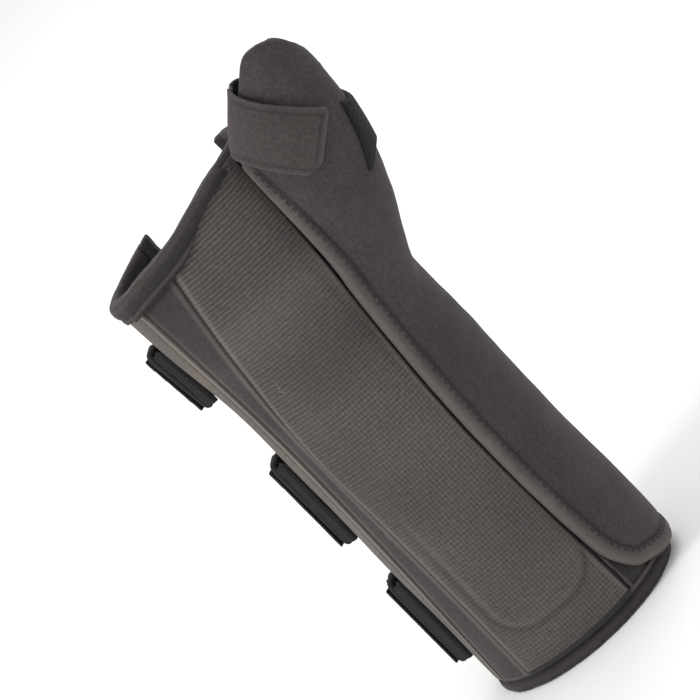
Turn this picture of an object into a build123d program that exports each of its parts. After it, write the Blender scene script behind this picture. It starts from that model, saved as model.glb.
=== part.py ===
from build123d import *
import os
from math import cos, radians, sin

# Right-hand wrist and thumb splint, standing on its forearm rim.
# +Z runs from the forearm to the fingers, -Y is the palm side, +X is the thumb side.
# All sizes in millimetres.

# ---------------------------------------------------------------- driving dimensions
# The hollow for the arm is a stack of ovals: height, centre x, half width, centre y, half depth.
arm_sections = [
    (0, -2.0, 37.6, 0.0, 31.5),
    (60, -2.0, 37.6, 0.0, 31.0),
    (110, -2.0, 37.6, 1.4, 29.2),
    (150, -2.5, 38.0, 3.2, 26.8),
    (188, -6.0, 38.6, 4.6, 25.0),
    (242, -12.0, 37.0, 7.6, 24.0),
]
# The thumb sleeve's outer face, the same way. It leaves the thumb side of the arm tube.
thumb_sections = [
    (138, 21.0, 21.0, 0.0, 16.0),
    (165, 28.5, 23.5, -3.0, 17.0),
    (190, 37.8, 26.2, -6.0, 17.2),
    (215, 46.5, 24.5, -9.5, 16.8),
    (228, 50.3, 22.4, -11.0, 16.2),
    (240, 55.2, 18.0, -12.0, 15.2),
    (262, 60.6, 13.0, -13.0, 13.6),
]

# Layers, as distances out from the inside of the lining.
lining_out = 1.2
foam_out = 3.4
cover_out = 4.4
binding_out = 4.9
stay_in, stay_out = 4.6, 6.2
pocket_out = 7.4
flap_in, flap_out = 5.2, 8.6
roll_out = 9.2
hook_thick = 0.9
tongue_in, tongue_out = -3.4, -0.5

hem = 7.5                      # height of the binding at the forearm rim
edge_tape = 4.0                # width of the tape on the two dorsal edges
gap_left, gap_right = -30.0, 16.0   # the dorsal opening
seam_y = 19.0                  # the flap is sewn down along this line
flap_foot = 4.0                # the flap's lowest edge
sleeve_wall = 3.4
sleeve_split = -8.0            # front and back halves of the thumb sleeve meet here
roll_width = 5.0               # the flap's turned edge
top_tape = 3.5                 # the tape round the sleeve's open top
edge_left, edge_right = 9, 5   # the panels end this far under the palm binding's edge
beyond = 90.0                  # further out than any part, for cutting shapes
above = 260.0                  # higher than the wrap

webbing = 1.9                  # thickness of the strap webbing
wire = 1.5                     # radius of the wire that the slot loops are bent from
loop_reach = 11.0              # between the centres of a loop's two long bars
loop_lift = 4.9                # from the cover to the centre of the bars
loop_corner = 2.6              # bend radius of the wire's centre line
loop_angle = 177.0             # where the loops sit, round the ulnar side
strap_start = 44               # angle where a strap is sewn down, on the thumb side
strap_leaves = 158             # angle where it leaves the cover for the loop
keeper_foot = 193              # angle where a keeper is sewn down, on the palm side
keeper_thick = 1.3
fit = 0.3                      # clearance round the stays and between moving cloth
wire_fit = 0.6                 # clearance between a loop's wire and the webbing round it
strap_lift = 1.2               # from the cover to the underside of a strap
thumb_hole_top = 213.0
swing_relief = 1.0             # the flap is thinner by this at its seam's hand end, to swing clear
# name: middle height and width of each strap
straps = {"hand": (174.0, 25.4), "wrist": (104.5, 38.1), "forearm": (39.0, 38.1)}

dorsal_stay_size = (16.0, 1.5, 142.0)
dorsal_stay_middle = -7.0
dorsal_stay_foot = 16.0
dorsal_stay_y = 31.6

strap_top = Vector(36.5, 0, 238.0)      # where the thumb strap crosses the web
strap_lean = 41.0                       # how far its two legs lean from upright, in degrees
thumb_strap_width = 25.4
tab_reach = 33.0                        # how far the tab reaches down from the web
back_reach = 52.0                       # and how far the sewn end reaches down the back of the sleeve
tab_split = -17.0                       # the strap ends and the tab starts at this Y


# ---------------------------------------------------------------- shared shapes
def oval_stack(sections, grow):
    wires = []
    for z, cx, half_x, cy, half_y in sections:
        wires.append(Pos(cx, cy, z) * Ellipse(half_x + grow, half_y + grow))
    return loft(wires)


arm_cache = {}


def arm(grow):
    if grow not in arm_cache:
        arm_cache[grow] = oval_stack(arm_sections, grow)
    return arm_cache[grow]


def layer(inner, outer):
    return arm(outer) - arm(inner)


def sleeve(grow):
    return oval_stack(thumb_sections, grow)


def block(x0, x1, y0, y1, z0, z1):
    return Pos((x0 + x1) / 2, (y0 + y1) / 2, (z0 + z1) / 2) * Box(x1 - x0, y1 - y0, z1 - z0)


def prism(outline, y0, y1):
    """A solid with the given outline in X and Z, from y0 to y1."""
    face = Plane.XZ * make_face(outline)
    return Pos(0, y1, 0) * extrude(face, y1 - y0)


def biggest(shape):
    return max(shape.solids(), key=lambda s: s.volume)


def section_at(z):
    """The arm hollow's oval at height z, between the two nearest listed ones."""
    for low, high in zip(arm_sections, arm_sections[1:]):
        if z <= high[0]:
            share = (z - low[0]) / (high[0] - low[0])
            return [a + (b - a) * share for a, b in zip(low[1:], high[1:])]


def skin_frame(angle, z, grow):
    """Point, tangent towards the back of the arm, and outward normal on an oval."""
    cx, half_x, cy, half_y = section_at(z)
    a = radians(angle)
    point = Vector(cx + (half_x + grow) * cos(a), cy + (half_y + grow) * sin(a), z)
    along = Vector((half_x + grow) * sin(a), -(half_y + grow) * cos(a), 0).normalized()
    return point, along, Vector(0, 0, 1).cross(along)


# ---------------------------------------------------------------- outlines seen from the palm
def under_rim(drop_left=0.0, drop_right=0.0):
    """Everything below the finger-end rim, lowered by two drops at its two ends."""
    curve = Spline([(-62, 211 - drop_left), (-50, 213 - drop_left), (-35, 217.5 - drop_left),
                    (-12, 222 - drop_left), (8, 228 - drop_right), (24, 231 - drop_right),
                    (42, 231 - drop_right)])
    rest = Polyline([(42, 231 - drop_right), (90, 231 - drop_right), (90, -5), (-62, -5), (-62, 211 - drop_left)])
    return prism(curve + rest, -80, 80)


def beside(points, far, shift=0.0):
    """The palm side between a line of points, low to high, and the plane X = far."""
    line = [(x + shift, z) for x, z in points]
    closing = Polyline([line[-1], (far, line[-1][1]), (far, line[0][1]), line[0]])
    return prism(Spline(line) + closing, -80, 0.5)


def right_of(points, shift=0.0):
    return beside(points, 90, shift)


def left_of(points, shift=0.0):
    return beside(points, -90, shift)


ulnar_seam = [(-40, -5), (-35.8, 60), (-35, 120), (-37, 170), (-39.5, 212), (-42, 245)]
pocket_left = [(-27, -5), (-26.6, 55), (-28.2, 112), (-28, 148), (-24.4, 179), (-19, 212), (-12, 245)]
pocket_right = [(24.8, -5), (22.8, 65), (22, 115), (23.8, 146), (25.8, 185), (25.2, 245)]


def flap_outline(edge_inset=0.0, top_inset=0.0):
    """Flap and thumb sleeve: the free edge beside the pocket, a rounded foot, and the sleeve's rounded top."""
    i, t = edge_inset, top_inset
    edge = Spline([(27.2 + i, 227), (28.5 + i, 192), (26.3 + i, 154), (24.3 + i, 104), (25 + i, 58),
                   (27.4 + i, 27)], tangents=[(0.1, -1), (0.25, -1)])
    foot = Spline([(27.4 + i, 27), (32.0 + 0.9 * i, 14.5 + 0.5 * i), (40 + 0.3 * i, 5.6 + i),
                   (50, flap_foot + i)], tangents=[(0.25, -1), (1, 0)])
    top = Spline([(27.2 + i, 227), (44.5 + 0.7 * t, 245.5 - 0.7 * t), (54, 252.5 - t), (64, 253 - t),
                  (71.5 - 0.7 * t, 247 - 0.7 * t), (76 - t, 234)])
    rest = Polyline([(76 - t, 234), (95, 200), (95, flap_foot + i), (50, flap_foot + i)])
    return prism(edge + foot + top + rest, -80, seam_y)


# ---------------------------------------------------------------- lining, foam and covers
def open_back(shape, margin=0.0):
    return shape - block(gap_left - margin, gap_right + margin, 4, beyond, -5, above)


def thumb_hole(grow=0.0):
    """The thumb's way out of the arm tube: the inside of the thumb sleeve, below the web."""
    return sleeve(-sleeve_wall + grow) & block(0, 100, -60, 60, 100, thumb_hole_top + grow)


def wrapped(inner, outer, low, drop_left, drop_right, hole):
    """A layer of the wrap between the two rims, open at the back and at the thumb."""
    body = layer(inner, outer) & under_rim(drop_left, drop_right)
    return open_back(body & block(-beyond, beyond, -beyond, beyond, low, above), edge_tape) - thumb_hole(hole)


def lining():
    return biggest(wrapped(0, lining_out, hem, edge_left, edge_right, 2.0))


def foam_shell():
    return biggest(wrapped(lining_out, foam_out, hem, edge_left, edge_right, 2.0))


def cover():
    return wrapped(foam_out, cover_out, hem, edge_left, edge_right, 2.0)


def ulnar_panel(whole):
    return biggest(whole & (left_of(ulnar_seam) + block(-90, -18, 0, 80, -5, 245)))


def trim_band(whole):
    return biggest(whole & right_of(ulnar_seam) & left_of(pocket_left))


def landing_panel(whole):
    return biggest(whole & (right_of(pocket_right) + block(18, 90, 0, 80, -5, 245)))


# ---------------------------------------------------------------- palm pocket and its stay
def stay_shape(grow):
    """A broad strip with round ends that leans with the palm."""
    i = grow
    low = Spline([(-18 - i, 44), (-12 - 0.7 * i, 30 - 0.7 * i), (0, 26.5 - i), (13 + 0.7 * i, 30 - 0.7 * i),
                  (19 + i, 44)])
    high = ThreePointArc((20.5 + i, 194), (5, 211 + i), (-13 - i, 194))
    right = Spline([(19 + i, 44), (17.5 + i, 115), (20.5 + i, 194)])
    left = Spline([(-13 - i, 194), (-20 - i, 140), (-18 - i, 44)])
    return prism(low + right + high + left, -80, 0)


def palmar_stay():
    return layer(stay_in, stay_out) & stay_shape(0)


def palmar_pocket():
    body = layer(foam_out, pocket_out) & right_of(pocket_left) & left_of(pocket_right)
    body = body & under_rim(edge_left, edge_right) & block(-beyond, beyond, -beyond, 0, hem, above)
    return biggest(body - (layer(stay_in - 0.1, stay_out + 0.1) & stay_shape(0.3)))


def pocket_welt():
    """A thin piped cord beside the pocket's thumb-side edge."""
    strip = right_of(pocket_right, 0.2) & left_of(pocket_right, 1.3)
    return biggest(layer(cover_out, cover_out + 1.3) & strip & under_rim(10, 6) & block(0, 90, -80, 0, hem, 205))


# ---------------------------------------------------------------- bindings
def palm_binding():
    band = under_rim() - under_rim(edge_left, edge_right)
    palm_side = layer(-0.4, pocket_out + 0.4) & band & block(-beyond, beyond, -beyond, -16, 190, above)
    rest = layer(-0.4, binding_out) & band & block(-beyond, beyond, -16, beyond, 190, above)
    return biggest(open_back(palm_side + rest, edge_tape))


def forearm_binding():
    body = layer(-0.4, binding_out) & block(-beyond, beyond, -beyond, beyond, 0, hem)
    return biggest(open_back(body, edge_tape))


def dorsal_edge_tape(x0, x1):
    body = layer(-0.4, binding_out) & under_rim() & block(x0, x1, 4, beyond, 0, above)
    return biggest(body)


# ---------------------------------------------------------------- tongue and dorsal stay
def tongue():
    body = layer(tongue_in, tongue_out) & block(-38, 23, 4, 80, 4, 206)
    return biggest(body)


def dorsal_slot(grow):
    wide, thick, tall = dorsal_stay_size
    plate = RectangleRounded(wide + 2 * grow, tall + 2 * grow, wide / 2 - 0.1)
    middle = Pos(dorsal_stay_middle, dorsal_stay_y, dorsal_stay_foot + tall / 2)
    return middle * extrude(Plane.XZ * plate, thick / 2 + grow, both=True)


def dorsal_stay_pocket():
    wide, thick, tall = dorsal_stay_size
    left = dorsal_stay_middle - wide / 2 - 2.4
    right = dorsal_stay_middle + wide / 2 + 2.4
    top = dorsal_stay_foot + tall - 4
    body = block(left, right, dorsal_stay_y - 3.4, dorsal_stay_y + 1.7, dorsal_stay_foot - 3, top)
    way_out = block(left + 2.4 - fit, right - 2.4 + fit, dorsal_stay_y - thick / 2 - fit,
                    dorsal_stay_y + thick / 2 + fit, dorsal_stay_foot + wide / 2, 300)
    return biggest(body - dorsal_slot(fit) - way_out - arm(tongue_out))


def dorsal_stay():
    return dorsal_slot(0)


# ---------------------------------------------------------------- straps
def strap_body(name, profile):
    """A solid between the profile's shapes at the strap's two edges."""
    middle, width = straps[name]
    faces = []
    for z in (middle - width / 2, middle + width / 2):
        faces.append(profile(z))
    return loft(faces, ruled=True)


def skin_point(angle, lift, z):
    point, along, out = skin_frame(angle, z, cover_out)
    return point + out * lift


def ribbon(lifts, z, thick=webbing):
    """A strip that passes through (angle, lift) points, lift being its underside."""
    inner = [skin_point(angle, lift, z) for angle, lift in lifts]
    outer = [skin_point(angle, lift + thick, z) for angle, lift in lifts]
    edges = Spline(inner) + Line(inner[-1], outer[-1]) + Spline(outer) + Line(outer[0], inner[0])
    return make_face(edges)


def bar_frame(z, side):
    """Centre of a long bar: side -1 towards the palm, +1 towards the back of the arm."""
    point, along, out = skin_frame(loop_angle, z, cover_out)
    return point + out * loop_lift + along * (side * loop_reach / 2), along, out


def strap_run(name):
    """Sewn down at the thumb side, over the back of the arm and once round the loop's bar."""
    def flat(z):
        return ribbon([(angle, strap_lift) for angle in range(strap_start, strap_leaves + 1, 19)], z)

    def turn(z):
        centre, along, out = bar_frame(z, 1)
        r0, r1 = wire + wire_fit, wire + wire_fit + webbing
        low0, low1 = centre - out * r0, centre - out * r1
        high0, high1 = centre + out * r0, centre + out * r1
        edges = ThreePointArc(low0, centre - along * r0, high0) + Line(high0, high1)
        edges += ThreePointArc(high1, centre - along * r1, low1)
        ahead0 = skin_point(strap_leaves, strap_lift + webbing, z)
        ahead1 = skin_point(strap_leaves, strap_lift, z)
        edges += Line(low1, ahead1) + Line(ahead1, ahead0) + Line(ahead0, low0)
        return make_face(edges)

    return biggest(strap_body(name, flat) + strap_body(name, turn))


def tail_steps(name):
    """How high the folded-back end lies, from the loop's bar to its tip."""
    start = loop_angle - 10.5
    high = loop_lift + wire + wire_fit - 0.3
    return [(start, high), (start - 8, high - 0.6), (start - 17, 6.0), (start - 27, 4.6), (start - 40, 4.4),
            (start - 54, 4.4), (start - 68, 4.4), (start - 82, 4.4)]


def strap_tail(name):
    """The free end, folded back over the strap."""
    return strap_body(name, lambda z: ribbon(tail_steps(name), z))


def hook_pad(name):
    """The hook patch under the end of a strap's tail."""
    middle, width = straps[name]
    under = [(angle, lift - hook_thick - 0.1) for angle, lift in tail_steps(name)]
    sheet = strap_body(name, lambda z: ribbon(under, z, hook_thick))
    return sheet & block(-24, 0, 0, 80, middle - width / 2 + 1, middle + width / 2 - 1)


def slot_loop(name):
    """A rectangle of round wire."""
    middle, width = straps[name]
    low, along, out = skin_frame(loop_angle, middle - width / 2, cover_out)
    high = skin_frame(loop_angle, middle + width / 2, cover_out)[0]
    up = (high - low).normalized()
    face_out = along.cross(up) * -1
    centre = (low + high) * 0.5 + out * loop_lift
    plane = Plane(origin=centre, x_dir=along, z_dir=face_out)
    path = (plane * RectangleRounded(loop_reach, width + 2 * wire + 2 * fit, loop_corner)).wire()
    start = Plane(origin=path @ 0, z_dir=path % 0)
    return sweep(start * Circle(wire), path=path)


def keeper(name):
    """A doubled tab of webbing that holds the loop to the ulnar side."""
    def profile(z):
        centre, along, out = bar_frame(z, -1)
        r1 = wire + wire_fit + keeper_thick
        foot = [skin_point(keeper_foot, 0.1, z), skin_point(keeper_foot, 2.4, z)]
        start, end = centre - out * r1, centre + out * r1
        edges = ThreePointArc(start, centre + along * r1, end) + Line(end, foot[1])
        edges += Line(foot[1], foot[0]) + Line(foot[0], start)
        return make_face(edges)

    def hole(z):
        centre, along, out = bar_frame(z, -1)
        ring = Plane(origin=centre, x_dir=along, z_dir=(0, 0, 1))
        return ring * Circle(wire + wire_fit)

    return biggest(strap_body(name, profile) - strap_body(name, hole) - arm(cover_out))


# ---------------------------------------------------------------- flap and thumb sleeve
def flap_shell(outer, sleeve_grow=0.0):
    """The flap's cloth: over the arm tube and over the thumb, hollow right through."""
    outside = arm(outer) + sleeve(sleeve_grow)
    return outside - arm(flap_in) - sleeve(-sleeve_wall)


def edge_ring():
    """The band of the turned edge along the free side and the foot."""
    band = flap_outline() - flap_outline(roll_width)
    return band & block(0, 58, -80, -2, -5, 226)


def top_ring():
    """The band of the binding round the sleeve's open top."""
    band = flap_outline() - flap_outline(0, top_tape)
    return band & block(25, 100, -60, 60, 226, 270)


def back_region():
    return block(0, 100, sleeve_split, 60, 150, 270) - arm(flap_out)


def hook_strip_shape(grow=0.0):
    band = flap_outline(roll_width + 0.6 - grow) - flap_outline(roll_width + 16 + grow)
    strip = layer(flap_in - grow, flap_in + hook_thick + grow) & band
    return strip & block(0, 90, -80, -8, 32 - grow, 148 + grow)


def seam_relief():
    """Room beside the seam at the hand end, where the wrap curves in from the hinge line."""
    return arm(flap_in + swing_relief) & block(0, beyond, seam_y - 5, beyond, 196, above)


def radial_flap(cloth):
    """Flap and front of the thumb sleeve, cut in one piece."""
    body = (cloth & flap_outline()) - edge_ring() - top_ring() - back_region()
    return biggest(body - hook_strip_shape(0.05) - seam_relief())


def flap_edge():
    return biggest(flap_shell(roll_out, 0.6) & edge_ring())


def sleeve_back(cloth):
    return biggest((cloth & flap_outline() & back_region()) - top_ring() - thumb_stay(0.1))


def sleeve_binding():
    return biggest((sleeve(0.4) - sleeve(-sleeve_wall - 0.4) - arm(flap_in)) & top_ring())


def thumb_stay(grow=0.0):
    strip = block(45, 100, -6 - grow, 5 + grow, 176 - grow, 236 + grow)
    return biggest((sleeve(-1.1 + grow) - sleeve(-2.3 - grow)) & strip)


def thumb_strap_block(width, start, end):
    """The band between the thumb strap's edges, from start to end along its legs."""
    down = Vector(sin(radians(strap_lean)), 0, -cos(radians(strap_lean)))
    across = Vector(cos(radians(strap_lean)), 0, sin(radians(strap_lean)))
    plane = Plane(origin=strap_top, x_dir=down, z_dir=across)
    return plane * block(start, end, -60, 60, -width / 2, width / 2)


def thumb_strap():
    band = (sleeve(2.3) - sleeve(0.5)) & thumb_strap_block(thumb_strap_width, -20, back_reach)
    return biggest((band & block(0, 100, tab_split, 60, 120, 275)) - arm(flap_out + fit))


def thumb_tab():
    band = (sleeve(3.7) - sleeve(1.9)) & thumb_strap_block(thumb_strap_width, -20, tab_reach)
    return biggest(band & block(0, 100, -60, tab_split - 0.4, 120, 275))


def thumb_hook():
    band = (sleeve(1.8) - sleeve(0.9)) & thumb_strap_block(thumb_strap_width - 4, 12, tab_reach - 2)
    return biggest(band & block(0, 100, -60, tab_split - 3, 120, 275))


# ---------------------------------------------------------------- all parts
def build_all():
    whole = cover()
    cloth = flap_shell(flap_out)
    parts = {
        "lining": lining(),
        "foam_shell": foam_shell(),
        "ulnar_panel": ulnar_panel(whole),
        "trim_band": trim_band(whole),
        "landing_panel": landing_panel(whole),
        "palmar_pocket": palmar_pocket(),
        "palmar_stay": palmar_stay(),
        "pocket_welt": pocket_welt(),
        "palm_binding": palm_binding(),
        "forearm_binding": forearm_binding(),
        "dorsal_tape_ulnar": dorsal_edge_tape(gap_left - edge_tape, gap_left),
        "dorsal_tape_radial": dorsal_edge_tape(gap_right, gap_right + edge_tape),
        "tongue": tongue(),
        "dorsal_stay_pocket": dorsal_stay_pocket(),
        "dorsal_stay": dorsal_stay(),
        "radial_flap": radial_flap(cloth),
        "flap_edge": flap_edge(),
        "flap_hook_strip": biggest(hook_strip_shape()),
        "sleeve_back": sleeve_back(cloth),
        "sleeve_binding": sleeve_binding(),
        "thumb_stay": thumb_stay(),
        "thumb_strap": thumb_strap(),
        "thumb_strap_tab": thumb_tab(),
        "thumb_strap_hook": thumb_hook(),
    }
    for name in straps:
        parts[name + "_strap"] = strap_run(name)
        parts[name + "_strap_tail"] = strap_tail(name)
        parts[name + "_strap_hook"] = hook_pad(name)
        parts[name + "_slot_loop"] = slot_loop(name)
        parts[name + "_keeper"] = keeper(name)
    return parts


os.makedirs("parts", exist_ok=True)
for node, solid in build_all().items():
    export_step(solid, "parts/" + node + ".step")
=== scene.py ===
import math

import bmesh
import bpy
import numpy as np
from mathutils import Matrix, Vector
from mathutils.bvhtree import BVHTree


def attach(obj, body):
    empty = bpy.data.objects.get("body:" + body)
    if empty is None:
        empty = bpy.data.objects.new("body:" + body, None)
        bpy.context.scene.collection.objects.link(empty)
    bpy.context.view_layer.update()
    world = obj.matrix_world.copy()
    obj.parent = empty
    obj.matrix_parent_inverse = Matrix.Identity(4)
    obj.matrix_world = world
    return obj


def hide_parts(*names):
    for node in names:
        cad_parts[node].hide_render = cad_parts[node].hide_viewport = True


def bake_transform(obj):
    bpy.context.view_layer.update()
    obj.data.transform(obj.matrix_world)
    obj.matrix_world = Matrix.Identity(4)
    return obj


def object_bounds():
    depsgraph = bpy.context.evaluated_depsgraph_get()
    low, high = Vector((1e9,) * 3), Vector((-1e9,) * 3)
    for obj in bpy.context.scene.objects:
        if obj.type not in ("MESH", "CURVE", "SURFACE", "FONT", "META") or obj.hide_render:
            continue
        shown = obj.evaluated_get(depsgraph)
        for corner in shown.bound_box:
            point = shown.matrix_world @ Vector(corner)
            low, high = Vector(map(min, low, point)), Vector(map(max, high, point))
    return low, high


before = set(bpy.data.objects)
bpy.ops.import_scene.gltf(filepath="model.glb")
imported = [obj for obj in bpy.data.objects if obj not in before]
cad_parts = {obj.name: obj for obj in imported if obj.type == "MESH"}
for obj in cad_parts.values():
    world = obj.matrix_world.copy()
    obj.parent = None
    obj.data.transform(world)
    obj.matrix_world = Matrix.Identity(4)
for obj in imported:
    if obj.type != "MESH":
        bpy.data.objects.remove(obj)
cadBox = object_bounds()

mm = 0.001
scene = bpy.context.scene
scene.view_settings.view_transform = "Standard"   # the cloth colours below are meant as they are written

# the arm tube: the ovals of the hollow, in millimetres, as the model has them
armOvals = np.array([
    # height, centre x, half width, centre y, half depth
    (0, -2.0, 37.6, 0.0, 31.5),
    (60, -2.0, 37.6, 0.0, 31.0),
    (110, -2.0, 37.6, 1.4, 29.2),
    (150, -2.5, 38.0, 3.2, 26.8),
    (188, -6.0, 38.6, 4.6, 25.0),
    (242, -12.0, 37.0, 7.6, 24.0),
])
layers = {"foam": 3.4, "cover": 4.4}   # how far each layer stands out of the hollow, mm
hem = 7.5   # height of the forearm binding, mm
seat = 4.0   # where the panels' side edges are laid out, mm out of the hollow


def smoothThrough(x, xs, ys):
    # a natural cubic through the points, for smooth outlines from few points
    n = len(xs)
    h = np.diff(xs)
    a = np.zeros((n, n))
    b = np.zeros(n)
    a[0, 0] = a[-1, -1] = 1
    for i in range(1, n - 1):
        a[i, i - 1:i + 2] = h[i - 1], 2 * (h[i - 1] + h[i]), h[i]
        b[i] = 6 * ((ys[i + 1] - ys[i]) / h[i] - (ys[i] - ys[i - 1]) / h[i - 1])
    m = np.linalg.solve(a, b)
    x = np.asarray(x, float)
    i = np.clip(np.searchsorted(xs, x) - 1, 0, n - 2)
    t, hi = x - xs[i], h[i]
    slope = (ys[i + 1] - ys[i]) / hi - hi * (2 * m[i] + m[i + 1]) / 6
    return ys[i] + t * (slope + t * (m[i] / 2 + t * (m[i + 1] - m[i]) / (6 * hi)))


def ovalAt(z):
    return [smoothThrough(z, armOvals[:, 0], armOvals[:, k]) for k in (1, 2, 3, 4)]


def onArm(angle, z, out):
    # points on the arm tube: angle in radians from the thumb side, out in mm from the hollow
    cx, halfX, cy, halfY = ovalAt(z)
    return np.stack([cx + (halfX + out) * np.cos(angle), cy + (halfY + out) * np.sin(angle), z + 0 * angle], -1)


def outOfArm(p):
    # how far out of the arm's hollow each point is, in mm, and its angle
    cx, halfX, cy, halfY = ovalAt(p[:, 2])
    dx, dy = p[:, 0] - cx, p[:, 1] - cy
    angle = np.arctan2(dy / halfY, dx / halfX)
    out = np.zeros(len(p))
    for _ in range(4):
        ratio = np.sqrt((dx / (halfX + out)) ** 2 + (dy / (halfY + out)) ** 2)
        out += (ratio - 1) * 0.5 * (halfX + halfY + 2 * out)
    return out, angle


def palmAngle(x, z, out):
    # the angle of the palm-side point of the arm tube at that x
    cx, halfX = ovalAt(z)[:2]
    return -np.arccos(np.clip((x - cx) / (halfX + out), -1, 1))


def backAngle(x, z, out):
    # the same on the back, counted on round the little-finger side
    cx, halfX = ovalAt(z)[:2]
    return -2 * np.pi + np.arccos(np.clip((x - cx) / (halfX + out), -1, 1))


def smoothStep(x, low, high):
    t = np.clip((x - low) / (high - low), 0, 1)
    return t * t * (3 - 2 * t)


# outlines seen from the palm: (x, z) in mm
seamLine = np.array([(-40, -5), (-35.8, 60), (-35, 120), (-37, 170), (-39.5, 212), (-42, 245)])
pocketLeft = np.array([(-27, -5), (-26.6, 55), (-28.2, 112), (-28, 148), (-24.4, 179), (-19, 212), (-12, 245)])
pocketRight = np.array([(24.8, -5), (22.8, 65), (22, 115), (23.8, 146), (25.8, 185), (25.2, 245)])
rimLine = np.array([(-62, 211), (-50, 213), (-35, 217.5), (-12, 222), (8, 228), (24, 231), (42, 231)])
freeEdge = np.array([(27.2, 227), (28.5, 192), (26.3, 154), (24.3, 104), (25, 58), (27.4, 27), (29.4, 20), (32, 14.5),
                     (35.6, 9.6), (40, 5.6), (45, 4.2), (52, 4.0)])


def lineX(line, z):
    return smoothThrough(z, line[:, 1], line[:, 0])


def rimZ(x):
    return smoothThrough(np.clip(x, -62, 42), rimLine[:, 0], rimLine[:, 1])


# node materials
def linear(hexColour):
    # sRGB hex to linear, with alpha
    parts = [int(hexColour[i:i + 2], 16) / 255 for i in (1, 3, 5)]
    return [c / 12.92 if c <= 0.04045 else ((c + 0.055) / 1.055) ** 2.4 for c in parts] + [1.0]


def addNode(tree, kind, links=None, **settings):
    # one node, its settings, and what feeds its inputs: {input: value, colour or socket}
    node = tree.nodes.new(kind)
    for key, value in settings.items():
        setattr(node, key, value)
    for key, value in (links or {}).items():
        if isinstance(value, bpy.types.NodeSocket):
            tree.links.new(value, node.inputs[key])
        elif isinstance(value, str):
            node.inputs[key].default_value = linear(value)
        else:
            node.inputs[key].default_value = value
    return node


def newMaterial(name, roughness, sheen=0.0, sheenRoughness=0.5, sheenTint="#ffffff", metallic=0.0, ior=1.5):
    material = bpy.data.materials.new(name)
    material.use_nodes = True
    tree = material.node_tree
    tree.nodes.clear()
    shader = addNode(tree, "ShaderNodeBsdfPrincipled", {
        "Roughness": roughness, "Sheen Weight": sheen, "Sheen Roughness": sheenRoughness, "Sheen Tint": sheenTint,
        "Metallic": metallic, "IOR": ior})
    addNode(tree, "ShaderNodeOutputMaterial", {"Surface": shader.outputs[0]})
    return material, tree, shader


def clothCoords(tree):
    # metres along the cloth: x round the arm, y up it
    return addNode(tree, "ShaderNodeAttribute", attribute_name="cloth").outputs["Vector"]


def ramp3(tree, factor, low, mid, high, start=0.34, end=0.66):
    ramp = addNode(tree, "ShaderNodeValToRGB", {"Fac": factor})
    ramp.color_ramp.elements[0].position, ramp.color_ramp.elements[0].color = start, linear(low)
    ramp.color_ramp.elements[1].position, ramp.color_ramp.elements[1].color = end, linear(high)
    ramp.color_ramp.elements.new((start + end) / 2).color = linear(mid)
    return ramp.outputs[0]


def paintLightAndShade(tree, shader, base, pale, dark):
    # painted highlight: paler where the cloth is turned; painted shade: darker down in the seams
    paintedHighlight = addNode(tree, "ShaderNodeAttribute", attribute_name="paintedHighlight").outputs["Fac"]
    paintedShade = addNode(tree, "ShaderNodeAttribute", attribute_name="paintedShade").outputs["Fac"]
    # a Mix node's colour sockets: 6 and 7 in, 2 out
    highlighted = addNode(tree, "ShaderNodeMix", {"Factor": paintedHighlight, 6: base, 7: pale}, data_type="RGBA")
    shaded = addNode(tree, "ShaderNodeMix", {"Factor": paintedShade, 6: highlighted.outputs[2], 7: dark}, data_type="RGBA")
    tree.links.new(shaded.outputs[2], shader.inputs["Base Color"])


def bumped(tree, shader, heights):
    # a chain of bumps: (socket, strength, depth in metres)
    normal = None
    for height, strength, depth in heights:
        links = {"Height": height, "Strength": strength, "Distance": depth}
        if normal:
            links["Normal"] = normal
        normal = addNode(tree, "ShaderNodeBump", links).outputs[0]
    tree.links.new(normal, shader.inputs["Normal"])


# how many times each pattern repeats in a metre, from its real size
knitGrain = {"tuft": 700.0, "patch": 38.0, "loop": 1100.0}   # tufts 1.4 mm, patches 26 mm, loops 0.9 mm
cordGrain = {"wander": 150.0, "fuzz": 600.0, "patch": 24.0}  # wander 7 mm, yarn fuzz 1.7 mm, patches 42 mm
tapeGrain = {"fuzz": 420.0}                                  # yarn fuzz 2.4 mm
nylonGrain = {"peel": 900.0}                                 # orange peel 1.1 mm
cordPitch, warpPitch = 0.0017, 0.0015                        # metres


def brushedKnit(name, low, mid, high, pale, sheen=0.06, dark="#171414"):
    # Polyester jersey with a brushed face, flame-laminated to foam: matt, faintly mottled, with a painted highlight
    # where it is turned and a painted shade in its seams.
    material, tree, shader = newMaterial(name, 0.9, sheen=sheen, sheenRoughness=0.5, sheenTint="#d8cfd0")
    cloth = clothCoords(tree)
    fuzz = addNode(tree, "ShaderNodeTexNoise", {"Vector": cloth, "Scale": knitGrain["tuft"], "Detail": 3.0,
                   "Roughness": 0.6})
    patch = addNode(tree, "ShaderNodeTexNoise", {"Vector": cloth, "Scale": knitGrain["patch"], "Detail": 3.0})
    mixed = addNode(tree, "ShaderNodeMix", {"Factor": 0.4, "A": fuzz.outputs["Fac"], "B": patch.outputs["Fac"]})
    # jersey loops are 0.5 mm apart; drawn at 0.9 mm so that they show
    loops = addNode(tree, "ShaderNodeTexVoronoi", {"Vector": cloth, "Scale": knitGrain["loop"]})
    paintLightAndShade(tree, shader, ramp3(tree, mixed.outputs[0], low, mid, high), pale, dark)
    bumped(tree, shader, [(loops.outputs["Distance"], 0.35, 0.0003), (fuzz.outputs["Fac"], 0.3, 0.0006)])
    return material


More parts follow.
